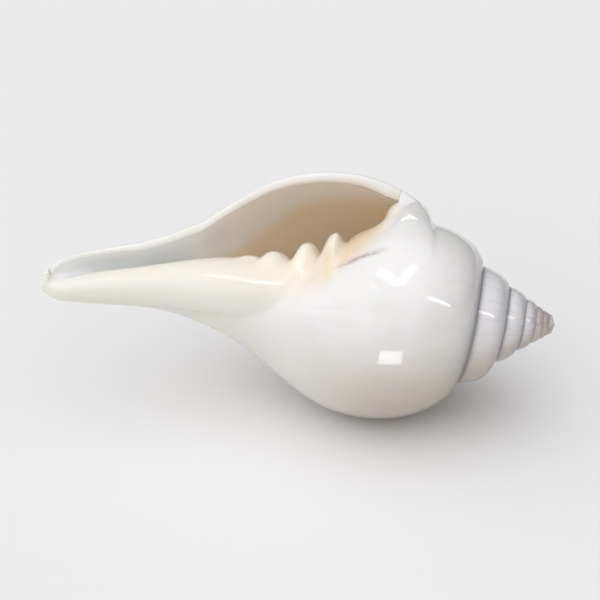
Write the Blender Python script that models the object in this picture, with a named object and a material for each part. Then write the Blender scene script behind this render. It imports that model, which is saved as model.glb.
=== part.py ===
"""A left-handed chank, the sacred conch shell, as one solid that rests on its belly.

The shell grows round its own axis. A place on it is given by a, the distance from the apex along
the axis in millimetres, r, the distance from the axis, and the turn, which is 0 at the lip and -1 a
whole turn earlier. All whorls have one outline, which grows by the same ratio every turn. Turn 0
points up, and the shell grows from up to front, down, back and up again.
"""

import bpy
import numpy as np
from mathutils import Matrix

MM = 0.001
TAU = 2 * np.pi

# The whole shell: its ends along the axis, and how it grows.
LENGTH = 151.1
APEX = -0.3
GROWTH = 1.588
SPIRE_TURNS = 5
# The suture, where a whorl is fused to the one before, drops a little just behind the lip.
SUTURE = 35.15
SUTURE_DROP = 0.09
SUTURE_DROP_TURNS = 0.3
SHOULDER_WIDTH = 0.5
# The whorl before the mouth is swollen, the one before that has a full shoulder, and the apex is blunt.
SWELL = 0.075
SWELL_TURNS = 0.35
FULLNESS = 2.4
FULLNESS_TURN = -1.5
FULLNESS_TURNS = 0.5
FULLNESS_PLACE = 41.0
FULLNESS_WIDTH = 7.0
BLUNT_RADIUS = 2.2
BLUNT_LENGTH = 10.3
# The pillar of the columella, and how much thinner it is deep inside the shell.
ROUNDING = 1.2
PILLAR_TOP = 79.0
PILLAR_THINNING = 0.4
# The mouth: its two ends, the lip's wall, and how far the hollow behind it goes.
MOUTH_TOP = 47.9
MOUTH_END = 149.7
LIP_THICKNESS = 3.0
CANAL_LIP_THICKNESS = 1.4
FLARE_TURNS = 0.5
HOLLOW_TURNS = 0.72
HOLLOW_CORNER = 3.5
# How far the mouth's edge reaches to the front and inside, and how it softens on its way to the front.
EDGE_FRONT_TURNS = 0.18
EDGE_INSIDE_TURNS = 0.25
EDGE_OFFSETS = (-4.0, -2.0, 0.0, 2.0, 4.0)
EDGE_SOFTENING_TURNS = 0.06
# Where the lip is fused on, above the mouth, its rim falls away over these turns.
RIM_START = 42.0
RIM_FRONT_TURNS = 0.007
RIM_INSIDE_TURNS = 0.0015
# How the shell lies: its axis slopes, and the mouth leans back, on a belly worn flat.
AXIS_SLOPE = np.radians(4.5)
LEAN = np.radians(30.0)
FLAT_DEPTH = 0.45
CUTTER_SIZE = 80.0

# The outline of a whorl at the lip: distance from the apex, radius.
WHORL = (
    (35.15, 24.3), (35.9, 26.1), (37.2, 28.2), (39.4, 30.7), (42.4, 33.1), (45.9, 35.2), (50.0, 37.0),
    (54.7, 38.5), (60.0, 39.5), (65.3, 39.8), (70.6, 39.6), (75.9, 38.8), (81.5, 37.3), (85.9, 35.5),
    (90.3, 33.0), (94.1, 30.6), (98.2, 27.7), (102.4, 24.5), (106.5, 21.3), (110.6, 18.2), (114.7, 15.7),
    (118.8, 13.5), (126.5, 10.2), (135.3, 7.2), (148.5, 4.4), (180.0, 0.8), (400.0, 0.1),
)
# The lip along the canal, where it stands out more than the whorl's outline does.
CANAL_LIP = (
    (106.0, 22.3), (109.0, 20.7), (114.7, 18.0), (120.6, 15.7), (123.5, 14.7), (129.4, 13.3), (135.3, 11.7),
    (141.2, 10.1), (144.1, 9.0), (146.8, 7.7), (148.8, 6.1), (150.0, 4.6), (151.1, 2.2),
)
CANAL_LIP_START = (103.5, 109.4)
# The edge of the mouth on the columella's side, without its folds.
COLUMELLA_EDGE = (
    (48.0, 32.8), (49.7, 31.6), (51.4, 29.6), (52.3, 26.8), (53.5, 25.2), (57.2, 23.4), (61.5, 20.6),
    (63.5, 17.7), (70.3, 14.2), (79.4, 12.9), (87.0, 12.8), (99.7, 12.1), (107.4, 10.9), (114.7, 9.3),
    (123.5, 7.4), (132.9, 5.5), (138.8, 4.1), (143.5, 2.7), (146.6, 1.8), (148.4, 2.2), (149.7, 5.0),
    (151.1, 2.2),
)
# The pillar in front of the axis and below it.
PILLAR_FRONT = (
    (0.0, 2.0), (59.0, 11.0), (88.0, 10.9), (100.0, 9.7), (109.0, 7.9), (117.6, 6.2), (126.5, 5.3),
    (135.3, 4.8), (142.0, 4.2), (146.0, 2.9), (149.4, 2.2), (151.1, 1.2),
)
PILLAR_BELOW = (
    (0.0, 2.0), (59.0, 6.5), (88.0, 5.5), (106.0, 4.2), (114.7, 3.8), (123.5, 3.95), (138.2, 4.3),
    (144.0, 4.3), (147.1, 3.8), (149.4, 2.5), (151.1, 1.0),
)
# The columella's folds: place along the axis, height, half width, and how far round the front they
# run, in radians. They slant along the axis, by this much per radian in front and inside.
FOLDS = ((66.5, 5.7, 2.7, 1.3), (74.2, 5.0, 2.9, 1.2), (83.5, 2.3, 2.9, 0.8), (90.6, 0.7, 2.6, 0.5))
FOLD_SQUARENESS = 2.5
FOLD_SLANT_FRONT = 0.035
FOLD_SLANT_INSIDE = 0.074

# How many rows and columns the faceted solid has, and where one more column follows the mouth's edge.
COLUMNS = 45
EDGE_COLUMN = 0.008
SPIRE_ROWS = 6
SHOULDER_ROWS = 4
MOUTH_ROWS = 38
TIP_ROWS = 2
LIP_STEPS = 4
HOLLOW_STEPS = 12


def outline(points):
    """A smooth curve through the points that never overshoots them, as a function of a."""
    x, y = np.array(points, float).T
    step = np.diff(x)
    slope = np.diff(y) / step
    before, after = slope[:-1], slope[1:]
    same_way = before * after > 0
    total = np.where(same_way, before + after, 1.0)
    inner_tangents = np.where(same_way, 2 * before * after / total, 0.0)
    tangent = np.concatenate(([slope[0]], inner_tangents, [slope[-1]]))

    def value(at):
        at = np.clip(at, x[0], x[-1])
        i = np.clip(np.searchsorted(x, at, side="right") - 1, 0, len(step) - 1)
        t = (at - x[i]) / step[i]
        ends = y[i] * (1 + 2 * t) * (1 - t) ** 2 + y[i + 1] * t * t * (3 - 2 * t)
        return ends + step[i] * (tangent[i] * t * (1 - t) ** 2 - tangent[i + 1] * t * t * (1 - t))

    return value


def rise(at, low, high):
    """0 below low, 1 above high, and a smooth S between them."""
    t = np.clip((at - low) / (high - low), 0, 1)
    return t * t * (3 - 2 * t)


def rounded_max(first, second):
    """The larger of two radii, with the corner between them rounded over."""
    gap = first - second
    return (first + second + np.sqrt(gap * gap + ROUNDING * ROUNDING)) / 2


whorl_outline = outline(WHORL)
canal_lip = outline(CANAL_LIP)
columella_edge = outline(COLUMELLA_EDGE)
pillar_front = outline(PILLAR_FRONT)
pillar_below = outline(PILLAR_BELOW)


def whorl(turn, a):
    """Radius of the whorl that grew at this turn: one outline, scaled by the growth."""
    size = GROWTH ** turn
    place = a / size
    swollen = 1 + SWELL * rise(SWELL_TURNS - np.abs(turn + 1), 0.0, SWELL_TURNS)
    full = FULLNESS * rise(FULLNESS_TURNS - np.abs(turn - FULLNESS_TURN), 0.0, FULLNESS_TURNS)
    full = full * np.exp(-(((place - FULLNESS_PLACE) / FULLNESS_WIDTH) ** 2))
    return size * (swollen * whorl_outline(place) + full) + BLUNT_RADIUS * np.exp(-a / BLUNT_LENGTH)


def suture(turn):
    """Where the whorl of this turn starts along the axis."""
    return SUTURE * GROWTH ** turn * (1 + SUTURE_DROP * rise(turn, -SUTURE_DROP_TURNS, 0.0))


def shoulder(a, start):
    """0 where a whorl leaves the suture, and 1 from a millimetre or two further on."""
    return 1 - np.exp(-np.maximum(a - start, 0) / SHOULDER_WIDTH)


def pillar(turn, a):
    """Radius of the columella's pillar in this direction."""
    up, front, below = columella_edge(np.maximum(a, PILLAR_TOP)), pillar_front(a), pillar_below(a)
    level = (up + below) / 2
    angle = TAU * turn
    oval = (level + front) / 2 + (level - front) / 2 * np.cos(2 * angle)
    radius = oval + (up - below) / 2 * np.cos(angle)
    return radius * (1 - PILLAR_THINNING * rise(-1 - turn, 0.1, 0.6))


def plain_wall(turn, a):
    """Radius of a whorl and of the pillar below it, with nothing on them."""
    return rounded_max(whorl(turn, a), pillar(turn, a))


def lip(a):
    """Radius of the lip's outside."""
    plain = plain_wall(0.0, a)
    return plain + (canal_lip(a) - plain) * rise(a, *CANAL_LIP_START)


def mouth_edge(past, a):
    """The mouth's edge on the columella's side, carried to the front (past > 0) and inside (past < 0).

    Above the mouth it is the fused lip, whose rim falls away as deep as the mouth's corner. Further to
    the front the edge is softer, a mean of five places.
    """
    fall_turns = np.where(past < 0, RIM_INSIDE_TURNS, RIM_FRONT_TURNS)
    fall = (lip(MOUTH_TOP) - columella_edge(MOUTH_TOP)) * (1 - np.exp(-((past / fall_turns) ** 2)))
    edge = 0.0
    for offset in EDGE_OFFSETS:
        at = a + offset * rise(past, 0.0, EDGE_SOFTENING_TURNS)
        fused = lip(at) - fall * rise(at, RIM_START, MOUTH_TOP)
        edge = edge + np.where(at < COLUMELLA_EDGE[0][0], fused, columella_edge(at))
    return edge / len(EDGE_OFFSETS)


def inner_wall(turn, a):
    """The wall that faces the mouth: the whorl before, the pillar, the callus and the folds.

    The turn is -1 at the mouth's edge, less inside the mouth and more on the shell's front.
    """
    past = turn + 1
    near = (1 - np.clip(past / EDGE_FRONT_TURNS, 0, 1)) ** 2 * np.exp(np.minimum(past, 0) / EDGE_INSIDE_TURNS)
    raised = (mouth_edge(past, a) - plain_wall(-1.0, a)) * near
    radius = plain_wall(turn, a) + raised * shoulder(a, suture(0.0))
    slant = TAU * past * np.where(past < 0, FOLD_SLANT_INSIDE, FOLD_SLANT_FRONT)
    for place, height, width, reach in FOLDS:
        off = np.abs(a - place * (1 + slant)) / width
        radius = radius + height * (1 - rise(past, 0.02, reach / TAU)) * np.exp(-(off ** FOLD_SQUARENESS))
    return radius


def outside(turn, a):
    """Radius of the last whorl's outside, from its start at the mouth, turn -1, to the lip, turn 0."""
    flare = lip(a) - plain_wall(0.0, a)
    late = plain_wall(turn, a) + flare * rise(turn, -FLARE_TURNS, 0.0)
    share = rise(turn, -0.82, -0.74)
    radius = inner_wall(turn, a) * (1 - share) + late * share
    start = whorl(turn - 1, suture(turn))
    return start + (radius - start) * shoulder(a, suture(turn))


def hollow_section(turn, share):
    """One section of the hollow: places along the axis, and radii of its outer and inner walls.

    The share of the way from the section's top to its bottom is 0 to 1.
    """
    corner = HOLLOW_CORNER * GROWTH ** turn
    top = suture(turn) + corner + (MOUTH_TOP - suture(0.0) - HOLLOW_CORNER) * np.exp(turn / 0.05)
    bottom = np.interp(turn, (-0.8, -0.5, -0.25, -0.1, 0.0), (70, 94, 124, 140, MOUTH_END - 0.5))
    a = top + (bottom - top) * share
    thick = LIP_THICKNESS + (CANAL_LIP_THICKNESS - LIP_THICKNESS) * rise(a, 110, 146)
    floor = inner_wall(turn - 1, a)
    room = np.maximum(outside(turn, a) - thick - floor, 0.3)
    rounded_ends = np.sqrt(np.clip(1 - np.abs(2 * share - 1) ** 14, 0, 1))
    return a, floor + room * rounded_ends, floor


def spread(count, ends, power=1.0):
    """count + 1 places between two ends, closer together near the first where the power is over 1."""
    return ends[0] + (ends[1] - ends[0]) * np.linspace(0, 1, count + 1) ** power


def mouth_places(count):
    """count + 1 places along the mouth, closer together at its corner, the folds and the tip."""
    at = np.linspace(MOUTH_TOP, MOUTH_END, 400)
    crowd = 1 + 2.6 * rise(at, 58, 62) * (1 - rise(at, 88, 95))
    crowd = crowd + 2.5 * (1 - rise(at, 50, 56)) + 1.2 * rise(at, 138, 145)
    length = np.concatenate(([0], np.cumsum((crowd[1:] + crowd[:-1]) / 2)))
    return np.interp(np.linspace(0, length[-1], count + 1), length, at)


def point(turn, a, r):
    """A point of the shell, with its axis along X, the apex at the origin and the canal towards -X."""
    angle = TAU * np.asarray(turn, float)
    a, r, angle = np.broadcast_arrays(a, r, angle)
    return np.stack((-a, -r * np.sin(angle), r * np.cos(angle)), -1)


def shell_mesh():
    """Vertices and faces of the shell: the spire, the last whorl, the lip and the hollow in one skin."""
    points = []
    faces = []

    def add(places):
        first = sum(len(part) for part in points)
        places = np.asarray(places, float).reshape(-1, 3)
        points.append(places)
        return np.arange(first, first + len(places))

    def skin(grid):
        """Faces between neighbouring columns of a grid of vertex numbers."""
        a, b, c, d = grid[:-1, :-1], grid[:-1, 1:], grid[1:, 1:], grid[1:, :-1]
        faces.extend(np.stack((a, b, c, d), -1).reshape(-1, 4).tolist())

    def skin_loops(near, deep):
        skin(np.stack((np.append(near, near[0]), np.append(deep, deep[0]))))

    # Places of the rows at the first column and at the lip, where the spire's rows have moved on.
    last = SPIRE_ROWS + SHOULDER_ROWS + MOUTH_ROWS + TIP_ROWS
    mouth_first = SPIRE_ROWS + SHOULDER_ROWS
    along = np.insert(np.linspace(0, 1, COLUMNS), 1, EDGE_COLUMN)
    first_suture, lip_suture = suture(-1.0), suture(0.0)
    shoulder_rows = spread(SHOULDER_ROWS, (lip_suture, MOUTH_TOP), 2.0)[:-1]
    tip = spread(TIP_ROWS, (MOUTH_END, LENGTH))[1:]
    first = np.concatenate((
        spread(SPIRE_ROWS, (first_suture, lip_suture), 1.4)[:-1],
        shoulder_rows, mouth_places(MOUTH_ROWS), tip))
    at_lip = np.concatenate((shoulder_rows, mouth_places(MOUTH_ROWS + SPIRE_ROWS), tip))
    first_share = (first - first_suture) / (LENGTH - first_suture)
    lip_share = (at_lip - lip_suture) / (LENGTH - lip_suture)

    # The last whorl. Its last column starts and ends on the vertices of its first one.
    body = np.empty((COLUMNS + 1, last), int)
    for m in range(COLUMNS + 1):
        turn = along[m] - 1
        share = first_share + (lip_share - first_share) * rise(along[m], 0, 1)
        a = suture(turn) + share[:-1] * (LENGTH - suture(turn))
        rows = point(turn, a, outside(turn, a))
        if m < COLUMNS:
            body[m] = add(rows)
        else:
            body[m, :SHOULDER_ROWS + 1] = body[0, SPIRE_ROWS:mouth_first + 1]
            body[m, -TIP_ROWS:] = body[0, -TIP_ROWS:]
            body[m, SHOULDER_ROWS + 1:-TIP_ROWS] = add(rows[SHOULDER_ROWS + 1:-TIP_ROWS])
    skin(body)

    # The spire, one whorl at a time towards the apex.
    after = body[:, :SPIRE_ROWS + 1]
    for number in range(1, SPIRE_TURNS):
        grid = np.empty((COLUMNS + 1, SPIRE_ROWS + 1), int)
        grid[:, -1] = after[:, 0]
        grid[-1] = after[0]
        for m in range(COLUMNS):
            turn = along[m] - 1 - number
            a = spread(SPIRE_ROWS, (suture(turn), suture(turn + 1)), 1.4)[:-1]
            start = whorl(turn - 1, suture(turn))
            r = start + (np.maximum(whorl(turn, a), start) - start) * np.sign(a - a[0])
            grid[m, :-1] = add(point(turn, a, r))
        skin(grid)
        after = grid

    # The apex is worn to a blunt round end, and the canal ends in a point.
    ring = np.concatenate((after[:-1, 0], after[0, ::-1][:-1]))
    worn = add(np.concatenate(points)[ring] * (0.3, 0.7, 0.7))
    skin(np.stack((np.append(worn, worn[0]), np.append(ring, ring[0])), -1))
    apex = add(point(0, APEX, 0))[0]
    faces.extend([int(q), int(apex), int(p)] for p, q in zip(worn, np.roll(worn, -1)))
    end = add(point(0, LENGTH, 0))[0]
    faces.extend([int(q), int(p), int(end)] for p, q in zip(body[:-1, -1], body[1:, -1]))

    # The mouth's rim: along the lip from the shoulder to the tip, and back along the columella.
    lip_a = at_lip[SHOULDER_ROWS:-TIP_ROWS]
    inner_a = first[mouth_first:-TIP_ROWS][::-1]
    lip_share = (lip_a - MOUTH_TOP) / (MOUTH_END - MOUTH_TOP)
    inner_share = (inner_a - MOUTH_TOP) / (MOUTH_END - MOUTH_TOP)
    lip_side = body[-1, SHOULDER_ROWS:last - TIP_ROWS + 1]
    inner_side = body[0, mouth_first + 1:last - TIP_ROWS][::-1]
    loops = [np.concatenate((lip_side, inner_side))]

    # The lip is rolled over into the hollow, half a circle thick.
    start_turn = -0.004
    outer_a, outer_r, _ = hollow_section(start_turn, lip_share)
    inner, _, _ = hollow_section(start_turn, inner_share)
    rim_r = lip(lip_a)
    half = (rim_r - outer_r) / 2
    fade = rise(lip_share, 0, 0.02) * (1 - rise(lip_share, 0.96, 1))
    for step in range(1, LIP_STEPS + 1):
        part_way = step / LIP_STEPS
        turn = start_turn * part_way
        a = lip_a + (outer_a - lip_a) * part_way
        r = rim_r - half * (1 - np.cos(np.pi * part_way))
        swell = np.minimum(half, LIP_THICKNESS / 2) * np.sin(np.pi * part_way) * fade
        over = point(turn + swell / (TAU * np.maximum(r, 4)), a, r)
        down = point(turn, inner, inner_wall(turn - 1, inner))
        loops.append(add(np.concatenate((over, down[1:-1]))))

    # The hollow winds inwards and ends in a blind wall.
    for step in range(1, HOLLOW_STEPS + 1):
        turn = start_turn - (HOLLOW_TURNS + start_turn) * (step / HOLLOW_STEPS) ** 1.3
        outer_a, outer_r, _ = hollow_section(turn, lip_share)
        inner, _, inner_r = hollow_section(turn, inner_share)
        wall = point(turn, outer_a, outer_r)
        loops.append(add(np.concatenate((wall, point(turn, inner, inner_r)[1:-1]))))
    for near, deep in zip(loops, loops[1:]):
        skin_loops(near, deep)
    middle = add(np.concatenate(points)[loops[-1]].mean(axis=0))[0]
    faces.extend([int(p), int(q), int(middle)] for p, q in zip(loops[-1], np.roll(loops[-1], -1)))
    return np.concatenate(points), faces


def laid_down(points):
    """The points turned as the shell rests, centred over the origin with the belly's flat at height 0."""
    turned = Matrix.Rotation(-LEAN, 3, "X") @ Matrix.Rotation(AXIS_SLOPE, 3, "Y")
    points = points @ np.array(turned).T
    low, high = points.min(axis=0), points.max(axis=0)
    return points - (*(low + high)[:2] / 2, low[2] + FLAT_DEPTH)


def clear_scene():
    for old in list(bpy.data.objects):
        bpy.data.objects.remove(old)


def new_collection(name):
    collection = bpy.data.collections.new(name)
    bpy.context.scene.collection.children.link(collection)
    return collection


def polished_shell():
    """The shell's polished outside: creamy white and glossy."""
    material = bpy.data.materials.new("polished_shell")
    material.use_nodes = True
    surface = material.node_tree.nodes["Principled BSDF"]
    surface.inputs["Base Color"].default_value = (0.83, 0.80, 0.76, 1)
    surface.inputs["Roughness"].default_value = 0.2
    surface.inputs["Metallic"].default_value = 0.0
    return material


def floor_cutter():
    """A box whose top is the plane that the shell rests on."""
    x = y = CUTTER_SIZE / 2
    z = -CUTTER_SIZE
    corners = [(sx * x, sy * y, sz) for sz in (z, 0.0) for sx, sy in ((-1, -1), (1, -1), (1, 1), (-1, 1))]
    sides = [(i, (i + 1) % 4, (i + 1) % 4 + 4, i + 4) for i in range(4)]
    mesh = bpy.data.meshes.new("floor_cutter")
    mesh.from_pydata([tuple(c * MM for c in corner) for corner in corners], [], [(3, 2, 1, 0), (4, 5, 6, 7), *sides])
    cutter = bpy.data.objects.new("floor_cutter", mesh)
    cutter.hide_render = True
    cutter.display_type = "WIRE"
    return cutter


def build():
    clear_scene()
    points, faces = shell_mesh()
    mesh = bpy.data.meshes.new("conch_shell")
    mesh.from_pydata((laid_down(points) * MM).tolist(), [], faces)
    mesh.validate()
    mesh.shade_smooth()
    mesh.materials.append(polished_shell())
    shell = bpy.data.objects.new("conch_shell", mesh)
    new_collection("conch_shell").objects.link(shell)

    cutter = floor_cutter()
    new_collection("cutters").objects.link(cutter)
    flat = shell.modifiers.new("worn flat belly", "BOOLEAN")
    flat.operation = "DIFFERENCE"
    flat.solver = "EXACT"
    flat.object = cutter


build()
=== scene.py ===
"""A polished left-handed chank, the sacred conch, lying on its belly with its mouth to the front."""

import bpy
import numpy as np
from mathutils import Matrix, Vector


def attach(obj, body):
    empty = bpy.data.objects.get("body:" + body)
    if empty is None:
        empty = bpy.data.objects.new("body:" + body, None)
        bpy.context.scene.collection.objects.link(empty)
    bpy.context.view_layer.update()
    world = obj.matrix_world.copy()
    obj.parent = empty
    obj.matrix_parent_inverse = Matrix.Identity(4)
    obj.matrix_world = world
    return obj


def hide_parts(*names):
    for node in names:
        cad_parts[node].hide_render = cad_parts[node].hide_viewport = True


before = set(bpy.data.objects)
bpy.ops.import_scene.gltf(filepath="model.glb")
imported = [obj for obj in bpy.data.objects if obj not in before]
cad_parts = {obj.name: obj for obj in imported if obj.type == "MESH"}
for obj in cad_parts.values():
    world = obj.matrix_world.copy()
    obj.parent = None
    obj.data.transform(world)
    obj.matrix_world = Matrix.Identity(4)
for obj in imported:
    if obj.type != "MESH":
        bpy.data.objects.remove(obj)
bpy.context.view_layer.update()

# The camera. It looks down on the shell by 30 degrees. The photo has no clue to its lens, so 90 mm is a
# guess, and the distance follows from the shell's length in the picture. The target is the middle of
# the picture, on the plane of the shell's axis.
LENS = 90.0
SENSOR = 36.0
CAMERA_DOWN = np.radians(30.0)
CAMERA_DISTANCE = 0.4412
CAMERA_TARGET = Vector((0.00046, -0.00227, 0.03517))
CAMERA_CLIP_START = 0.01

camera_data = bpy.data.cameras.new("camera")
camera_data.lens = LENS
camera_data.sensor_width = SENSOR
camera_data.clip_start = CAMERA_CLIP_START
camera = bpy.data.objects.new("camera", camera_data)
bpy.context.scene.collection.objects.link(camera)
camera.rotation_euler = (np.pi / 2 - CAMERA_DOWN, 0, 0)
towards_camera = Vector((0, -np.cos(CAMERA_DOWN), np.sin(CAMERA_DOWN)))
camera.location = CAMERA_TARGET + CAMERA_DISTANCE * towards_camera
bpy.context.scene.camera = camera

# The shell. A chank lays down one thick wall of aragonite as it grows round its axis, so its spire,
# last whorl, lip, columella and canal are one piece, and it is one skin here too. The real shell was
# cleaned and polished to a porcelain-like gloss.

# Sizes are in millimetres. A place on the skin has a turn (0 at the lip, -1 a whole turn earlier), a
# distance a from the apex along the axis, and a distance r from the axis. Widths round the axis are in
# turns. Tables of pairs give r at places a, measured in the photo or, for the hidden side, guessed.
MM = 0.001
TAU = 2 * np.pi
LENGTH = 151.1
APEX = -0.3

# The whorls: how they grow, where each one starts, its shoulder, where it is fuller, and the blunt apex.
GROWTH = 1.588
SPIRE_TURNS = 6
SUTURE = 35.15
SUTURE_DROP = 0.09
SUTURE_DROP_TURNS = 0.3
SHOULDER_WIDTH = 0.5
SWELL = 0.075
SWELL_TURNS = 0.35
FULLNESS = 2.4
FULLNESS_TURN = -1.5
FULLNESS_TURNS = 0.5
FULLNESS_PLACE = 41.0
FULLNESS_WIDTH = 7.0
BLUNT_RADIUS = 2.2
BLUNT_LENGTH = 10.3
WORN_LENGTH = 0.3
WORN_RADIUS = 0.7
ROUNDING = 1.2
WHORL = (
    (35.15, 24.3), (35.9, 26.1), (37.2, 28.2), (39.4, 30.7), (42.4, 33.1), (45.9, 35.2), (50.0, 37.0),
    (54.7, 38.5), (60.0, 39.5), (65.3, 39.8), (70.6, 39.6), (75.9, 38.8), (81.5, 37.3), (85.9, 35.5),
    (90.3, 33.0), (94.1, 30.6), (98.2, 27.7), (102.4, 24.5), (106.5, 21.3), (110.6, 18.2), (114.7, 15.7),
    (118.8, 13.5), (126.5, 10.2), (135.3, 7.2), (148.5, 4.4), (180.0, 0.8), (400.0, 0.1),
)

# The columella: its radius in front and below, and its edge, which is what the mouth shows of it.
PILLAR_TOP = 79.0
PILLAR_THINNING = 0.4
PILLAR_THINNING_TURNS = (0.1, 0.6)
PILLAR_FRONT = (
    (0.0, 2.0), (59.0, 11.0), (88.0, 10.9), (100.0, 9.7), (109.0, 7.9), (117.6, 6.2), (126.5, 5.3),
    (135.3, 4.8), (142.0, 4.2), (146.0, 2.9), (149.4, 2.2), (151.1, 1.2),
)
PILLAR_BELOW = (
    (0.0, 2.0), (59.0, 6.5), (88.0, 5.5), (106.0, 4.2), (114.7, 3.8), (123.5, 3.95), (138.2, 4.3),
    (144.0, 4.3), (147.1, 3.8), (149.4, 2.5), (151.1, 1.0),
)
COLUMELLA_EDGE = (
    (48.0, 32.8), (49.7, 31.6), (51.4, 29.6), (52.3, 26.8), (53.5, 25.2), (57.2, 23.4), (61.5, 20.6),
    (63.5, 17.7), (70.3, 14.2), (79.4, 12.9), (87.0, 12.8), (99.7, 12.1), (107.4, 10.9), (114.7, 9.3),
    (123.5, 7.4), (132.9, 5.5), (138.8, 4.1), (143.5, 2.7), (146.6, 1.8), (148.4, 2.2), (149.7, 5.0),
    (151.1, 2.2),
)
EDGE_FRONT_TURNS = 0.18
EDGE_INSIDE_TURNS = 0.25
EDGE_OFFSETS = (-4.0, -2.0, 0.0, 2.0, 4.0)
EDGE_SOFTENING_TURNS = 0.06

# Its folds. Each has a place, a height, a width, and how far it reaches round the columella, in radians.
FOLDS = ((66.5, 5.7, 2.7, 1.3), (74.2, 5.0, 2.9, 1.2), (83.5, 2.3, 2.9, 0.8), (90.6, 0.7, 2.6, 0.5))
FOLD_SQUARENESS = 3.0
FOLD_FADE_START = 0.02
FOLD_SLANT_FRONT = 0.035
FOLD_SLANT_INSIDE = 0.074

# The mouth's ends, the thickness and outline of the lip, and the rim that is rolled over it.
MOUTH_TOP = 47.9
MOUTH_END = 149.7
LIP_THICKNESS = 3.0
CANAL_LIP_THICKNESS = 1.4
LIP_THINNING = (110.0, 146.0)
FLARE_TURNS = 0.5
INNER_WALL_END = (-0.82, -0.74)
CANAL_LIP = (
    (106.0, 22.3), (109.0, 20.7), (114.7, 18.0), (120.6, 15.7), (123.5, 14.7), (129.4, 13.3), (135.3, 11.7),
    (141.2, 10.1), (144.1, 9.0), (146.8, 7.7), (148.8, 6.1), (150.0, 4.6), (151.1, 2.2),
)
CANAL_LIP_START = (103.5, 109.4)
RIM_START = 42.0
RIM_FRONT_TURNS = 0.007
RIM_INSIDE_TURNS = 0.0015
RIM_DEPTH = 0.02
RIM_LEAST_RADIUS = 4.0
RIM_CORNER_SWELL = 0.5
RIM_CORNER_END = 0.04
RIM_TIP_START = 0.985

# The hollow behind the mouth, which winds inwards and gets narrower as far as a blind wall.
HOLLOW_START = -0.004
HOLLOW_TURNS = 0.72
HOLLOW_END_TURNS = 0.02
HOLLOW_CORNER = 3.5
HOLLOW_CORNER_TURNS = 0.05
HOLLOW_BOTTOM_TURNS = (-0.8, -0.5, -0.25, -0.1, 0.0)
HOLLOW_BOTTOMS = (70.0, 94.0, 124.0, 140.0, MOUTH_END - 0.5)
HOLLOW_LEAST_ROOM = 0.3
HOLLOW_SQUARENESS = 14

# The pose: the slope of the axis, how far the mouth leans back, and where the apex is.
AXIS_SLOPE = np.radians(4.5)
LEAN = np.radians(30.0)
APEX_PLACE = (75.17, -5.94, 28.81)

# How finely the skin is cut, and where its rows and columns are crowded together.
COLUMNS = 206
EDGE_COLUMNS = 9
EDGE_COLUMNS_END = -0.98
EDGE_CROWDING = 1.5
SPIRE_ROWS = 18
SHOULDER_ROWS = 12
SHOULDER_CROWDING = 2.0
MOUTH_ROWS = 150
TIP_ROWS = 8
MOUTH_SAMPLES = 400
FOLDS_CROWD = 2.6
FOLDS_START = (58.0, 62.0)
FOLDS_END = (88.0, 95.0)
CORNER_CROWD = 1.5
CORNER_END = (50.0, 56.0)
TIP_CROWD = 1.2
TIP_START = (138.0, 145.0)
LIP_STEPS = 14
HOLLOW_STEPS = 44
HOLLOW_CROWDING = 1.3


def outline(points):
    """A cubic through the points whose slope at each is the harmonic mean of its neighbours' slopes."""
    x, y = np.array(points, float).T
    step = np.diff(x)
    slope = np.diff(y) / step
    before, after = slope[:-1], slope[1:]
    same_way = before * after > 0
    total = np.where(same_way, before + after, 1.0)
    inner_tangents = np.where(same_way, 2 * before * after / total, 0.0)
    tangent = np.concatenate(([slope[0]], inner_tangents, [slope[-1]]))

    def value(at):
        at = np.clip(at, x[0], x[-1])
        i = np.clip(np.searchsorted(x, at, side="right") - 1, 0, len(step) - 1)
        t = (at - x[i]) / step[i]
        ends = y[i] * (1 + 2 * t) * (1 - t) ** 2 + y[i + 1] * t * t * (3 - 2 * t)
        return ends + step[i] * (tangent[i] * t * (1 - t) ** 2 - tangent[i + 1] * t * t * (1 - t))

    return value


def rise(at, low, high):
    """3tt - 2ttt of the share t of the way from low to high: a smooth step."""
    t = np.clip((at - low) / (high - low), 0, 1)
    return t * t * (3 - 2 * t)


def rounded_max(first, second):
    """Half of first + second + the root of their gap squared plus the rounding squared."""
    gap = first - second
    return (first + second + np.sqrt(gap * gap + ROUNDING * ROUNDING)) / 2


whorl_outline = outline(WHORL)
canal_lip = outline(CANAL_LIP)
columella_edge = outline(COLUMELLA_EDGE)
pillar_front = outline(PILLAR_FRONT)
pillar_below = outline(PILLAR_BELOW)


def whorl(turn, a):
    """Radius of a whorl: its size, which is growth ** turn, times the outline at a / size.

    The outline is swollen round turn -1 and has a bell of fullness round turn -1.5. A falling
    exponential widens the blunt apex.
    """
    size = GROWTH ** turn
    place = a / size
    swollen = 1 + SWELL * rise(SWELL_TURNS - np.abs(turn + 1), 0.0, SWELL_TURNS)
    full = FULLNESS * rise(FULLNESS_TURNS - np.abs(turn - FULLNESS_TURN), 0.0, FULLNESS_TURNS)
    full = full * np.exp(-(((place - FULLNESS_PLACE) / FULLNESS_WIDTH) ** 2))
    return size * (swollen * whorl_outline(place) + full) + BLUNT_RADIUS * np.exp(-a / BLUNT_LENGTH)


def suture(turn):
    """Where a whorl starts along the axis: growth ** turn times a length, and a little further by the lip."""
    return SUTURE * GROWTH ** turn * (1 + SUTURE_DROP * rise(turn, -SUTURE_DROP_TURNS, 0.0))


def shoulder(a, start):
    """One minus a falling exponential: how far a whorl has left the suture."""
    return 1 - np.exp(-np.maximum(a - start, 0) / SHOULDER_WIDTH)


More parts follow.
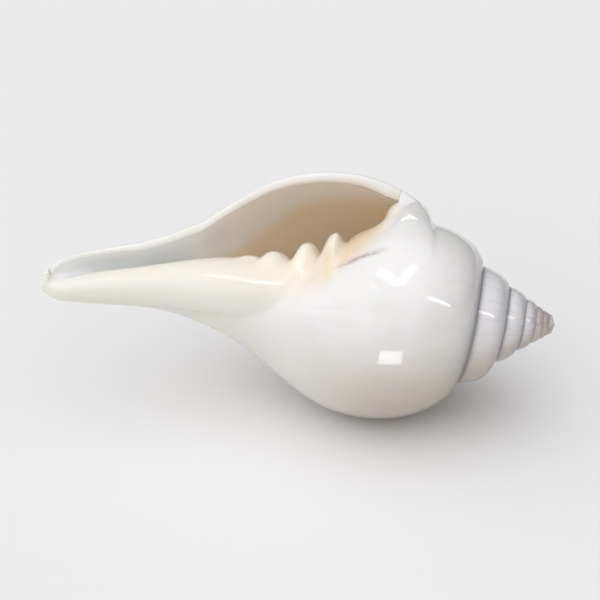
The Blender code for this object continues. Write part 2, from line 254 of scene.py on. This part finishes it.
def pillar(turn, a):
    """Radius of the columella: an oval with its own radius up, in front and below."""
    up, front, below = columella_edge(np.maximum(a, PILLAR_TOP)), pillar_front(a), pillar_below(a)
    level = (up + below) / 2
    angle = TAU * turn
    oval = (level + front) / 2 + (level - front) / 2 * np.cos(2 * angle)
    radius = oval + (up - below) / 2 * np.cos(angle)
    return radius * (1 - PILLAR_THINNING * rise(-1 - turn, *PILLAR_THINNING_TURNS))


def plain_wall(turn, a):
    """The larger of the whorl and the pillar, rounded where they meet."""
    return rounded_max(whorl(turn, a), pillar(turn, a))


def lip(a):
    """Radius of the lip's outside: the whorl's outline, and the canal's own outline beyond it."""
    plain = plain_wall(0.0, a)
    return plain + (canal_lip(a) - plain) * rise(a, *CANAL_LIP_START)


def mouth_edge(past, a):
    """A mean over five places of the columella's edge or, above the mouth, the lip less its falling rim."""
    fall_turns = np.where(past < 0, RIM_INSIDE_TURNS, RIM_FRONT_TURNS)
    fall = (lip(MOUTH_TOP) - columella_edge(MOUTH_TOP)) * (1 - np.exp(-((past / fall_turns) ** 2)))
    edge = 0.0
    for offset in EDGE_OFFSETS:
        at = a + offset * rise(past, 0.0, EDGE_SOFTENING_TURNS)
        fused = lip(at) - fall * rise(at, RIM_START, MOUTH_TOP)
        edge = edge + np.where(at < COLUMELLA_EDGE[0][0], fused, columella_edge(at))
    return edge / len(EDGE_OFFSETS)


def inner_wall(turn, a):
    """The wall that faces the mouth: whorl or pillar, raised to the mouth's edge, plus each fold's bell."""
    past = turn + 1
    near = (1 - np.clip(past / EDGE_FRONT_TURNS, 0, 1)) ** 2 * np.exp(np.minimum(past, 0) / EDGE_INSIDE_TURNS)
    raised = (mouth_edge(past, a) - plain_wall(-1.0, a)) * near
    radius = plain_wall(turn, a) + raised * shoulder(a, suture(0.0))
    slant = TAU * past * np.where(past < 0, FOLD_SLANT_INSIDE, FOLD_SLANT_FRONT)
    for place, height, width, reach in FOLDS:
        off = np.abs(a - place * (1 + slant)) / width
        bell = np.exp(-(off ** FOLD_SQUARENESS))
        radius = radius + height * (1 - rise(past, FOLD_FADE_START, reach / TAU)) * bell
    return radius


def outside(turn, a):
    """The last whorl's outside: the inner wall as far as the buttress, then the flaring whorl."""
    flare = lip(a) - plain_wall(0.0, a)
    late = plain_wall(turn, a) + flare * rise(turn, -FLARE_TURNS, 0.0)
    share = rise(turn, *INNER_WALL_END)
    radius = inner_wall(turn, a) * (1 - share) + late * share
    start = whorl(turn - 1, suture(turn))
    return start + (radius - start) * shoulder(a, suture(turn))


def hollow_section(turn, share):
    """A section of the hollow: a from its top to its bottom, and the radii of its outer and inner walls."""
    corner = HOLLOW_CORNER * GROWTH ** turn
    near_lip = np.exp(turn / HOLLOW_CORNER_TURNS)
    top = suture(turn) + corner + (MOUTH_TOP - suture(0.0) - HOLLOW_CORNER) * near_lip
    bottom = np.interp(turn, HOLLOW_BOTTOM_TURNS, HOLLOW_BOTTOMS)
    a = top + (bottom - top) * share
    thick = LIP_THICKNESS + (CANAL_LIP_THICKNESS - LIP_THICKNESS) * rise(a, *LIP_THINNING)
    floor = inner_wall(turn - 1, a)
    room = np.maximum(outside(turn, a) - thick - floor, HOLLOW_LEAST_ROOM)
    rounded_ends = np.sqrt(np.clip(1 - np.abs(2 * share - 1) ** HOLLOW_SQUARENESS, 0, 1))
    return a, floor + room * rounded_ends, floor


def spread(count, ends, power=1.0):
    """count + 1 places from one end to the other, by a power of their share."""
    return ends[0] + (ends[1] - ends[0]) * np.linspace(0, 1, count + 1) ** power


def mouth_places(count):
    """count + 1 places along the mouth, crowded at its corner, its folds and its tip."""
    at = np.linspace(MOUTH_TOP, MOUTH_END, MOUTH_SAMPLES)
    crowd = 1 + FOLDS_CROWD * rise(at, *FOLDS_START) * (1 - rise(at, *FOLDS_END))
    crowd = crowd + CORNER_CROWD * (1 - rise(at, *CORNER_END)) + TIP_CROWD * rise(at, *TIP_START)
    length = np.concatenate(([0], np.cumsum((crowd[1:] + crowd[:-1]) / 2)))
    return np.interp(np.linspace(0, length[-1], count + 1), length, at)


# Every vertex is kept as (turn, a, r, depth inside the mouth in turns) until the whole skin is known.
places = []
quads = []
triangles = []


def add(turn, a, r, depth=0.0):
    """Keeps these vertices, and returns their numbers in the shape they came in."""
    first = sum(len(part) for part in places)
    grid = np.broadcast_arrays(turn, a, r, depth)
    places.append(np.stack(grid, -1).reshape(-1, 4))
    return first + np.arange(grid[0].size).reshape(grid[0].shape)


def skin(grid):
    """Faces between neighbouring columns of a grid of vertex numbers."""
    a, b, c, d = grid[:-1, :-1], grid[:-1, 1:], grid[1:, 1:], grid[1:, :-1]
    quads.append(np.stack((a, b, c, d), -1).reshape(-1, 4))


def fan(loop, middle, outwards):
    """Triangles from a closed loop to one vertex."""
    following = np.roll(loop, -1)
    pair = (loop, following) if outwards else (following, loop)
    triangles.append(np.stack((*pair, np.full(len(loop), middle)), -1))


last = SPIRE_ROWS + SHOULDER_ROWS + MOUTH_ROWS + TIP_ROWS
mouth_first = SPIRE_ROWS + SHOULDER_ROWS
edge_columns = spread(EDGE_COLUMNS, (-1.0, EDGE_COLUMNS_END), EDGE_CROWDING)[:-1]
turns = np.concatenate((edge_columns, np.linspace(EDGE_COLUMNS_END, 0, COLUMNS + 1 - EDGE_COLUMNS)))[:, None]
first_suture, lip_suture = suture(-1.0), suture(0.0)
shoulder_rows = spread(SHOULDER_ROWS, (lip_suture, MOUTH_TOP), SHOULDER_CROWDING)[:-1]
tip = spread(TIP_ROWS, (MOUTH_END, LENGTH))[1:]
spire_share = rise(np.linspace(0, 1, SPIRE_ROWS + 1), 0, 1)[:-1]
spire_rows = first_suture + (lip_suture - first_suture) * spire_share
at_first = np.concatenate((spire_rows, shoulder_rows, mouth_places(MOUTH_ROWS), tip))
at_lip = np.concatenate((shoulder_rows, mouth_places(MOUTH_ROWS + SPIRE_ROWS), tip))
first_share = (at_first - first_suture) / (LENGTH - first_suture)
lip_share = (at_lip - lip_suture) / (LENGTH - lip_suture)

# The last whorl. Its last column starts and ends on the vertices of its first one.
share = first_share + (lip_share - first_share) * rise(turns, -1, 0)
along = suture(turns) + share[:, :-1] * (LENGTH - suture(turns))
body = np.empty((COLUMNS + 1, last), int)
body[:-1] = add(turns[:-1], along[:-1], outside(turns[:-1], along[:-1]))
body[-1, :SHOULDER_ROWS + 1] = body[0, SPIRE_ROWS:mouth_first + 1]
body[-1, -TIP_ROWS:] = body[0, -TIP_ROWS:]
lip_along = along[-1, SHOULDER_ROWS + 1:-TIP_ROWS]
body[-1, SHOULDER_ROWS + 1:-TIP_ROWS] = add(0.0, lip_along, outside(0.0, lip_along))
skin(body)

# The spire, one whorl at a time towards the blunt, worn apex.
after = body[:, :SPIRE_ROWS + 1]
for number in range(1, SPIRE_TURNS):
    early = turns[:-1] - number
    along = suture(early) + (suture(early + 1) - suture(early)) * spire_share
    start = whorl(early - 1, suture(early))
    radius = start + (np.maximum(whorl(early, along), start) - start) * np.sign(spire_share)
    grid = np.empty((COLUMNS + 1, SPIRE_ROWS + 1), int)
    grid[:, -1] = after[:, 0]
    grid[-1] = after[0]
    grid[:-1, :-1] = add(early, along, radius)
    skin(grid)
    after = grid
ring = np.concatenate((after[:-1, 0], after[0, ::-1][:-1]))
known = np.concatenate(places)
worn = add(known[ring, 0], known[ring, 1] * WORN_LENGTH, known[ring, 2] * WORN_RADIUS)
skin(np.stack((np.append(worn, worn[0]), np.append(ring, ring[0])), -1))
fan(worn, add(0.0, APEX, 0.0), False)
fan(body[:-1, -1], add(0.0, LENGTH, 0.0), False)

# The rim, rolled over into the hollow, and the hollow, winding inwards to a blind wall.
lip_a = at_lip[SHOULDER_ROWS:-TIP_ROWS]
inner_a = at_first[mouth_first:-TIP_ROWS][::-1]
outer_share = (lip_a - MOUTH_TOP) / (MOUTH_END - MOUTH_TOP)
inner_share = (inner_a - MOUTH_TOP) / (MOUTH_END - MOUTH_TOP)
lip_side = body[-1, SHOULDER_ROWS:last - TIP_ROWS + 1]
inner_side = body[0, mouth_first + 1:last - TIP_ROWS][::-1]
loops = [np.concatenate((lip_side, inner_side))]
outer_a, outer_r, _ = hollow_section(HOLLOW_START, outer_share)
inner, _, _ = hollow_section(HOLLOW_START, inner_share)
rim_r = lip(lip_a)
half = (rim_r - outer_r) / 2
fade = RIM_CORNER_SWELL + (1 - RIM_CORNER_SWELL) * rise(outer_share, 0, RIM_CORNER_END)
fade = fade * (1 - rise(outer_share, RIM_TIP_START, 1))
for step in range(1, LIP_STEPS + 1):
    part_way = step / LIP_STEPS
    turn = HOLLOW_START * part_way
    a = lip_a + (outer_a - lip_a) * part_way
    r = rim_r - half * (1 - np.cos(np.pi * part_way))
    swell = np.minimum(half, LIP_THICKNESS / 2) * np.sin(np.pi * part_way) * fade
    over = add(turn + swell / (TAU * np.maximum(r, RIM_LEAST_RADIUS)), a, r, RIM_DEPTH * part_way)
    down = add(turn - 1, inner[1:-1], inner_wall(turn - 1, inner)[1:-1], -HOLLOW_START * part_way)
    loops.append(np.concatenate((over, down)))
for step in range(1, HOLLOW_STEPS + 1):
    turn = HOLLOW_START - (HOLLOW_TURNS + HOLLOW_START) * (step / HOLLOW_STEPS) ** HOLLOW_CROWDING
    outer_a, outer_r, _ = hollow_section(turn, outer_share)
    inner, _, inner_r = hollow_section(turn, inner_share)
    wall = add(turn, outer_a, outer_r, RIM_DEPTH - turn)
    floor = add(turn - 1, inner[1:-1], inner_r[1:-1], -turn)
    loops.append(np.concatenate((wall, floor)))
for near, deep in zip(loops, loops[1:]):
    skin(np.stack((np.append(near, near[0]), np.append(deep, deep[0]))))
known = np.concatenate(places)
end = known[loops[-1]].mean(axis=0)
end[0] = -HOLLOW_TURNS - HOLLOW_END_TURNS
fan(loops[-1], add(*end), True)

# From turns and radii to the frame of the part: the axis slopes, the mouth leans back, and a small flat
# on the belly keeps the shell in that pose.
turn, along, radius, depth = np.concatenate(places).T
angle = TAU * turn
skin_points = np.stack((-along, -radius * np.sin(angle), radius * np.cos(angle)), -1)
turned = Matrix.Rotation(-LEAN, 3, "X") @ Matrix.Rotation(AXIS_SLOPE, 3, "Y")
skin_points = skin_points @ np.array(turned).T + APEX_PLACE
skin_points[:, 2] = np.maximum(skin_points[:, 2], 0.0)

# Where each colour of the shell goes, as one number for each vertex. Each falls away with the distance
# from a suture or from the mouth's edge, as a smooth step or an exponential. Lengths are in
# millimetres along the axis, and widths round the shell are in turns.
past = turn + 1
outer_side = (depth == 0) * 1.0

# Painted shade at the sutures: a dark line where a whorl is covered by the next one, a wider one on the
# shoulder of the next one, and a faint shade over the shoulder, as wide as a share of its distance from the
# apex. All of it is shade painted into the colour, for the crease and for the shoulder turned away from the
# light.
SUTURE_SHADE_WIDTH = 0.2
SUTURE_SHADE_GROWTH = 0.018
SUTURE_SHADE_FALL = 1.2
SHOULDER_SHADE = 0.8
SHOULDER_SHADE_WIDTH = 3.6
SHADE = 0.4
SHADE_WIDTH = 0.08
SHADE_NEAREST = 1.0
suture_shade_width = SUTURE_SHADE_WIDTH + SUTURE_SHADE_GROWTH * along
from_suture = np.abs(along - suture(turn))
from_line = from_suture / (suture_shade_width * SHOULDER_SHADE_WIDTH)
to_line = np.where(past < 0, np.abs(along - suture(past)), LENGTH) / suture_shade_width
# Painted shade: the suture's crease and the shoulder turned away from the light are darkened in colour.
painted_suture_shade = np.maximum(np.exp(-(to_line ** SUTURE_SHADE_FALL)), SHOULDER_SHADE * np.exp(-(from_line ** SUTURE_SHADE_FALL)))
shade = SHADE * np.exp(-from_suture / (SHADE_WIDTH * np.maximum(along, SHADE_NEAREST)))
painted_suture_shade = np.maximum(painted_suture_shade, shade) * outer_side

# Cream callus: a band from the mouth's edge across the columella, which fades out between two
# distances from the edge, given at places along the axis.
CALLUS_PLACES = (50.0, 57.0, 63.0, 67.0, 75.0, 84.0, 92.0, 104.0, 130.0, 151.0)
CALLUS_STARTS = (0.05, 0.08, 0.13, 0.15, 0.12, 0.12, 0.12, 0.09, 0.06, 0.05)
CALLUS_ENDS = (0.09, 0.15, 0.17, 0.23, 0.27, 0.29, 0.31, 0.27, 0.21, 0.18)
CALLUS_INSIDE = -0.9
CALLUS_TOP = (48.0, 55.0)
CALLUS_BOTTOM = (136.0, 144.0)
callus_start = np.interp(along, CALLUS_PLACES, CALLUS_STARTS)
callus_end = np.interp(along, CALLUS_PLACES, CALLUS_ENDS)
callus = (1 - rise(past, callus_start, callus_end)) * (past > CALLUS_INSIDE) * rise(along, *CALLUS_TOP)
callus = callus * (1 - rise(along, *CALLUS_BOTTOM))

# Tan on the callus by the mouth's corner, and painted shade in a narrow valley beside the first fold.
TAN_START = (50.0, 56.0)
TAN_END = (62.5, 66.5)
VALLEY_PLACE = 67.9
VALLEY_WIDTH = 1.6
VALLEY_START = (0.08, 0.12)
VALLEY_END = (0.19, 0.24)
valley_shade = np.exp(-(((along - VALLEY_PLACE) / VALLEY_WIDTH) ** 2))
valley_shade = valley_shade * rise(past, *VALLEY_START) * (1 - rise(past, *VALLEY_END))
tan = np.maximum(rise(along, *TAN_START) * (1 - rise(along, *TAN_END)), valley_shade)

# A thin stain along the edge of the callus, slanting a little.
STAIN_TURN = -0.853
STAIN_WIDTH = 0.006
STAIN_SLANT = 0.0012
STAIN_START = (49.0, 59.0)
STAIN_END = (60.0, 68.0)
stain_ends = rise(along, *STAIN_START) * (1 - rise(along, *STAIN_END))
off_stain = turn - STAIN_TURN - STAIN_SLANT * (along - STAIN_START[1])
stain = np.exp(-((off_stain / STAIN_WIDTH) ** 2)) * stain_ends * outer_side

# Painted shade: the side that the shell rests on is darker and warmer, as shade and warm light bounced
# from below, less so towards the canal.
RESTING_SIDE_START = (0.25, 0.43)
RESTING_SIDE_END = (0.7, 0.92)
RESTING_SIDE_PLACES = (45.0, 78.0)
RESTING_SIDE_SHADE = 0.95
RESTING_SIDE_CANAL_FADE = 0.7
part_turn = turn - np.floor(turn)
resting_side_shade = rise(part_turn, *RESTING_SIDE_START) * (1 - rise(part_turn, *RESTING_SIDE_END))
resting_side_shade = resting_side_shade * RESTING_SIDE_SHADE * (1 - RESTING_SIDE_CANAL_FADE * rise(along, *RESTING_SIDE_PLACES))

# Inside, the canal's groove is grey, and the rest turns tan from a depth that grows along the mouth: partly
# the shell's own peach colour, partly painted shade between the walls.
CANAL_START = (92.0, 118.0)
DEEP_PLACES = (50.0, 65.0, 77.0, 90.0, 110.0)
DEEP_STARTS = (0.03, 0.055, 0.068, 0.105, 0.17)
DEEP_FADE = 0.05
canal = rise(along, *CANAL_START)
deep_start = np.interp(along, DEEP_PLACES, DEEP_STARTS)
deep = rise(depth, deep_start, deep_start + DEEP_FADE)

shell_mesh = bpy.data.meshes.new("shell")
faces = np.concatenate(quads).tolist() + np.concatenate(triangles).tolist()
shell_mesh.from_pydata((skin_points * MM).tolist(), [], faces)
shell_mesh.shade_smooth()
shell_numbers = {
    "growth": turn, "spiral": along / GROWTH ** turn, "depth": depth, "painted_suture_shade": painted_suture_shade, "callus": callus,
    "tan": tan, "stain": stain, "resting_side_shade": resting_side_shade, "canal": canal, "deep": deep, "along": along,
}
for name, values in shell_numbers.items():
    shell_mesh.attributes.new(name, "FLOAT", "POINT").data.foreach_set("value", values.astype(np.float32))
shell = bpy.data.objects.new("shell", shell_mesh)
bpy.context.scene.collection.objects.link(shell)


def linear(colour):
    """sRGB hex to the linear colour that a shader takes: a straight line when dark, else a power of 2.4."""
    srgb = np.array([int(colour[i:i + 2], 16) for i in (1, 3, 5)]) / 255
    return (*np.where(srgb <= 0.04045, srgb / 12.92, ((srgb + 0.055) / 1.055) ** 2.4), 1.0)


def add_node(tree, kind, settings, **links):
    """Adds a node with its settings, and links or sets its inputs: by name, or by number as i0, i1."""
    node = tree.nodes.new(kind)
    for key, value in settings.items():
        setattr(node, key, value)
    for key, value in links.items():
        by_number = key[0] == "i" and key[1:].isdigit()
        socket = node.inputs[int(key[1:]) if by_number else key.replace("_", " ")]
        if isinstance(value, bpy.types.NodeSocket):
            tree.links.new(value, socket)
        else:
            socket.default_value = value
    return node


# Polished aragonite: a hard, porcelain-like white with a clear gloss, a little light let in, cream where
# the callus is thick, tan inside that is partly its own colour and partly painted shade between the walls,
# painted shade in the sutures, in a fold's valley and on the side that the shell rests on, and painted cool
# light on the spire.
polished = bpy.data.materials.new("polished_aragonite")
polished.use_nodes = True
tree = polished.node_tree
surface = tree.nodes["Principled BSDF"]
growth, spiral, depth_in, painted_suture_shade_in, callused, corner_tan_and_valley_shade_in, stained, resting_side_shade_in, in_canal, deep_in, from_apex = (
    add_node(tree, "ShaderNodeAttribute", {"attribute_name": name}).outputs["Fac"]
    for name in (
        "growth", "spiral", "depth", "painted_suture_shade", "callus", "tan", "stain", "resting_side_shade", "canal", "deep", "along"))
place = add_node(tree, "ShaderNodeTexCoord", {}).outputs["Object"]

# Cloudy white, in patches about as wide as a finger.
CLOUD_SIZE = 22.0
cloud = add_node(
    tree, "ShaderNodeTexNoise", {}, Vector=place, Scale=1 / (CLOUD_SIZE * MM), Detail=3.0).outputs["Fac"]
cloudy = add_node(
    tree, "ShaderNodeMapRange", {}, Value=cloud, From_Min=0.35, From_Max=0.65).outputs["Result"]
white = add_node(
    tree, "ShaderNodeMix", {"data_type": "RGBA"}, Factor=cloudy,
    A=linear("#F1EEED"), B=linear("#E9E8E4")).outputs["Result"]

# Growth lines run across the whorls. They are long and thin, and a mean radius of the spire turns their
# width from millimetres into turns. They show as grey streaks, more strongly on the spire.
LINE_SIZE = 0.9
LINE_LENGTH = 30.0
SPIRE_RADIUS = 10.0
line_scale = (TAU * SPIRE_RADIUS / LINE_SIZE, 1 / LINE_LENGTH, 0.0)
line_place = add_node(tree, "ShaderNodeCombineXYZ", {}, X=growth, Y=spiral).outputs["Vector"]
line_at = add_node(
    tree, "ShaderNodeVectorMath", {"operation": "MULTIPLY"}, i0=line_place, i1=line_scale).outputs["Vector"]
lines = add_node(tree, "ShaderNodeTexNoise", {}, Vector=line_at, Scale=1.0, Detail=3.0).outputs["Fac"]
line_strength = add_node(
    tree, "ShaderNodeMapRange", {}, Value=growth, From_Min=-2.2, From_Max=-1.2,
    To_Min=0.4, To_Max=0.08).outputs["Result"]
line_share = add_node(
    tree, "ShaderNodeMapRange", {}, Value=lines, From_Min=0.52, From_Max=0.75).outputs["Result"]
line_amount = add_node(
    tree, "ShaderNodeMath", {"operation": "MULTIPLY"}, i0=line_share, i1=line_strength).outputs["Value"]

# The spire is a little lavender, which is painted cool light from above, and its first whorls are worn
# pinkish brown, in streaks along the growth lines.
early = add_node(
    tree, "ShaderNodeMapRange", {"interpolation_type": "SMOOTHSTEP"}, Value=growth,
    From_Min=-1.05, From_Max=-1.4, To_Max=0.4).outputs["Result"]
near_apex = add_node(
    tree, "ShaderNodeMapRange", {"interpolation_type": "SMOOTHSTEP"}, Value=from_apex,
    From_Min=11.0, From_Max=3.5).outputs["Result"]
streaks = add_node(
    tree, "ShaderNodeMapRange", {}, Value=lines, From_Min=0.35, From_Max=0.65,
    To_Min=0.6, To_Max=1.0).outputs["Result"]
worn_amount = add_node(
    tree, "ShaderNodeMath", {"operation": "MULTIPLY"}, i0=near_apex, i1=streaks).outputs["Value"]

# Cream callus, deeper in colour away from the mouth's edge, tan by the mouth's corner, and the same tan as
# painted shade in the valley beside the first fold.
front_share = add_node(
    tree, "ShaderNodeMapRange", {}, Value=growth, From_Min=-0.93, From_Max=-0.84).outputs["Result"]
cream = add_node(
    tree, "ShaderNodeMix", {"data_type": "RGBA"}, Factor=front_share,
    A=linear("#FBF0E2"), B=linear("#F4E7D5")).outputs["Result"]
cream = add_node(
    tree, "ShaderNodeMix", {"data_type": "RGBA"}, Factor=corner_tan_and_valley_shade_in,
    A=cream, B=linear("#EEDBBF")).outputs["Result"]

# Towards the canal the outside turns a little greenish.
canal_amount = add_node(
    tree, "ShaderNodeMapRange", {"interpolation_type": "SMOOTHSTEP"}, Value=from_apex,
    From_Min=68.0, From_Max=105.0, To_Max=0.6).outputs["Result"]

# The stain is speckled. Its specks have a length along the axis and a width round the body.
SPECK_SIZES = (2.6, 1.8)
BODY_RADIUS = 30.0
speck_scale = (1 / SPECK_SIZES[0], TAU * BODY_RADIUS / SPECK_SIZES[1], 0.0)
speck_place = add_node(tree, "ShaderNodeCombineXYZ", {}, X=from_apex, Y=growth).outputs["Vector"]
speck_at = add_node(
    tree, "ShaderNodeVectorMath", {"operation": "MULTIPLY"}, i0=speck_place, i1=speck_scale).outputs["Vector"]
specks = add_node(tree, "ShaderNodeTexNoise", {}, Vector=speck_at, Scale=1.0, Detail=1.0).outputs["Fac"]
speckled = add_node(
    tree, "ShaderNodeMapRange", {}, Value=specks, From_Min=0.35, From_Max=0.6,
    To_Min=0.15, To_Max=0.85).outputs["Result"]
stain_amount = add_node(
    tree, "ShaderNodeMath", {"operation": "MULTIPLY"}, i0=stained, i1=speckled).outputs["Value"]

# The painted suture shade is fainter between the first whorls.
suture_shade_share = add_node(
    tree, "ShaderNodeMapRange", {}, Value=growth, From_Min=-4.3, From_Max=-3.2,
    To_Min=0.3, To_Max=0.9).outputs["Result"]
suture_shade_amount = add_node(
    tree, "ShaderNodeMath", {"operation": "MULTIPLY"}, i0=painted_suture_shade_in, i1=suture_shade_share).outputs["Value"]

# The outside is the cloudy white with each of these laid over it, in this order: lavender painted cool
# light, the worn apex, painted shade on the resting side, growth lines, callus, canal, stain and painted
# shade in the sutures.
outer = white
for amount, colour in (
    (early, linear("#ECEAF3")),
    (worn_amount, linear("#B0A19D")),
    (resting_side_shade_in, linear("#C3B9AA")),
    (line_amount, linear("#B9B3AE")),
    (callused, cream),
    (canal_amount, linear("#E8E8DA")),
    (stain_amount, linear("#A58F78")),
    (suture_shade_amount, linear("#626166")),
):
    layer = add_node(tree, "ShaderNodeMix", {"data_type": "RGBA"}, Factor=amount, A=outer, B=colour)
    outer = layer.outputs["Result"]

# Inside, a pinkish cream near the rim turns tan where it winds away, and the canal's groove stays grey. The
# cream near the rim is lightened as painted light let through the thin lip, and the tan is partly the shell's
# own peach colour and partly painted shade.
inside = add_node(
    tree, "ShaderNodeMix", {"data_type": "RGBA"}, Factor=deep_in,
    A=linear("#FFF5EC"), B=linear("#F9E5CA")).outputs["Result"]
groove_depth = add_node(
    tree, "ShaderNodeMapRange", {}, Value=depth_in, From_Min=0.025, From_Max=0.075).outputs["Result"]
groove = add_node(
    tree, "ShaderNodeMix", {"data_type": "RGBA"}, Factor=groove_depth,
    A=linear("#FFFFFD"), B=linear("#ECEEED")).outputs["Result"]
inside = add_node(
    tree, "ShaderNodeMix", {"data_type": "RGBA"}, Factor=in_canal, A=inside, B=groove).outputs["Result"]
inside_amount = add_node(
    tree, "ShaderNodeMapRange", {}, Value=depth_in, From_Min=0.004, From_Max=0.03).outputs["Result"]
colour = add_node(
    tree, "ShaderNodeMix", {"data_type": "RGBA"}, Factor=inside_amount,
    A=outer, B=inside).outputs["Result"]
tree.links.new(colour, surface.inputs["Base Color"])

# The polish leaves the growth lines as the faintest ripple.
RIPPLE_HEIGHT = 0.08
bump = add_node(
    tree, "ShaderNodeBump", {}, Height=lines, Strength=0.12, Distance=RIPPLE_HEIGHT * MM).outputs["Normal"]
tree.links.new(bump, surface.inputs["Normal"])
surface.inputs["Roughness"].default_value = 0.09
surface.inputs["IOR"].default_value = 1.6
surface.inputs["Subsurface Weight"].default_value = 0.5
surface.inputs["Subsurface Radius"].default_value = (1.0, 0.8, 0.6)
surface.inputs["Subsurface Scale"].default_value = 4 * MM
shell_mesh.materials.append(polished)

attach(shell, "root")
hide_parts("conch_shell")

# The floor: a plain sheet of matt white paper, laid flat, far larger than the picture.
FLOOR_HALF = 2.0
FLOOR_CORNERS = (
    (-FLOOR_HALF, -FLOOR_HALF, 0), (FLOOR_HALF, -FLOOR_HALF, 0),
    (FLOOR_HALF, FLOOR_HALF, 0), (-FLOOR_HALF, FLOOR_HALF, 0),
)
floor_mesh = bpy.data.meshes.new("floor")
floor_mesh.from_pydata(FLOOR_CORNERS, [], [(0, 1, 2, 3)])
floor = bpy.data.objects.new("floor", floor_mesh)
bpy.context.scene.collection.objects.link(floor)
paper = bpy.data.materials.new("matt_paper")
paper.use_nodes = True
paper_surface = paper.node_tree.nodes["Principled BSDF"]
paper_surface.inputs["Base Color"].default_value = linear("#F1F0EF")
paper_surface.inputs["Roughness"].default_value = 1.0
paper_surface.inputs["Specular IOR Level"].default_value = 0.0
floor_mesh.materials.append(paper)

# The light: one very large soft light from above, a little to the left and to the front, as a world that
# is brightest in its direction and dark a right angle away from it. It gives the photo's soft shading.
SKY_BRIGHTNESS = 1.5
SKY_DARKEST = 0.02
SKY_DIRECTION = Vector((-0.27, -0.3, 0.915))
sky = bpy.data.worlds.new("sky")
sky.use_nodes = True
sky_place = add_node(sky.node_tree, "ShaderNodeTexCoord", {}).outputs["Generated"]
towards_light = add_node(
    sky.node_tree, "ShaderNodeVectorMath", {"operation": "DOT_PRODUCT"}, i0=sky_place, i1=SKY_DIRECTION)
brightness = add_node(
    sky.node_tree, "ShaderNodeMapRange", {"interpolation_type": "SMOOTHSTEP"},
    Value=towards_light.outputs["Value"], To_Min=SKY_DARKEST, To_Max=SKY_BRIGHTNESS)
background = sky.node_tree.nodes["Background"]
background.inputs["Color"].default_value = linear("#FDFDFF")
sky.node_tree.links.new(brightness.outputs["Result"], background.inputs["Strength"])
bpy.context.scene.world = sky
bpy.context.scene.view_settings.view_transform = "Standard"

# Strips of light that only show as reflections in the polish, where the photo has its bright spots.
# Each has two ends, a width and a brightness. The first five are about a metre from the camera's
# target, and the last is a small card that lies low in front of the shell. All is in metres.
STRIPS = (
    (CAMERA_TARGET + Vector((-0.33, 0.01, 0.94)), CAMERA_TARGET + Vector((0.02, -0.4, 0.9)), 0.16, 2.4),
    (CAMERA_TARGET + Vector((0.0, -0.4, 0.9)), CAMERA_TARGET + Vector((0.2, -0.02, 0.98)), 0.14, 2.4),
    (CAMERA_TARGET + Vector((0.49, -0.56, 0.66)), CAMERA_TARGET + Vector((0.81, -0.45, 0.37)), 0.06, 6.0),
    (CAMERA_TARGET + Vector((-0.41, -0.21, 0.89)), CAMERA_TARGET + Vector((-0.35, -0.43, 0.83)), 0.04, 2.5),
    (CAMERA_TARGET + Vector((-0.16, 0.84, 0.52)), CAMERA_TARGET + Vector((0.26, 0.8, 0.54)), 0.05, 5.0),
    (Vector((0.011, -0.1, 0.0155)), Vector((0.037, -0.1, 0.0145)), 0.022, 5.0),
)
for number, (left, right, width, radiance) in enumerate(STRIPS):
    lamp = bpy.data.lights.new(f"reflection_{number}", "AREA")
    lamp.shape = "RECTANGLE"
    lamp.size = (right - left).length
    lamp.size_y = width
    lamp.energy = radiance * np.pi * lamp.size * width
    light = bpy.data.objects.new(f"reflection_{number}", lamp)
    middle = (left + right) / 2
    long_side = (right - left).normalized()
    back = middle - CAMERA_TARGET
    back = (back - back.dot(long_side) * long_side).normalized()
    light.matrix_world = Matrix((long_side, back.cross(long_side), back)).transposed().to_4x4()
    light.location = middle
    light.visible_diffuse = False
    light.visible_camera = False
    bpy.context.scene.collection.objects.link(light)
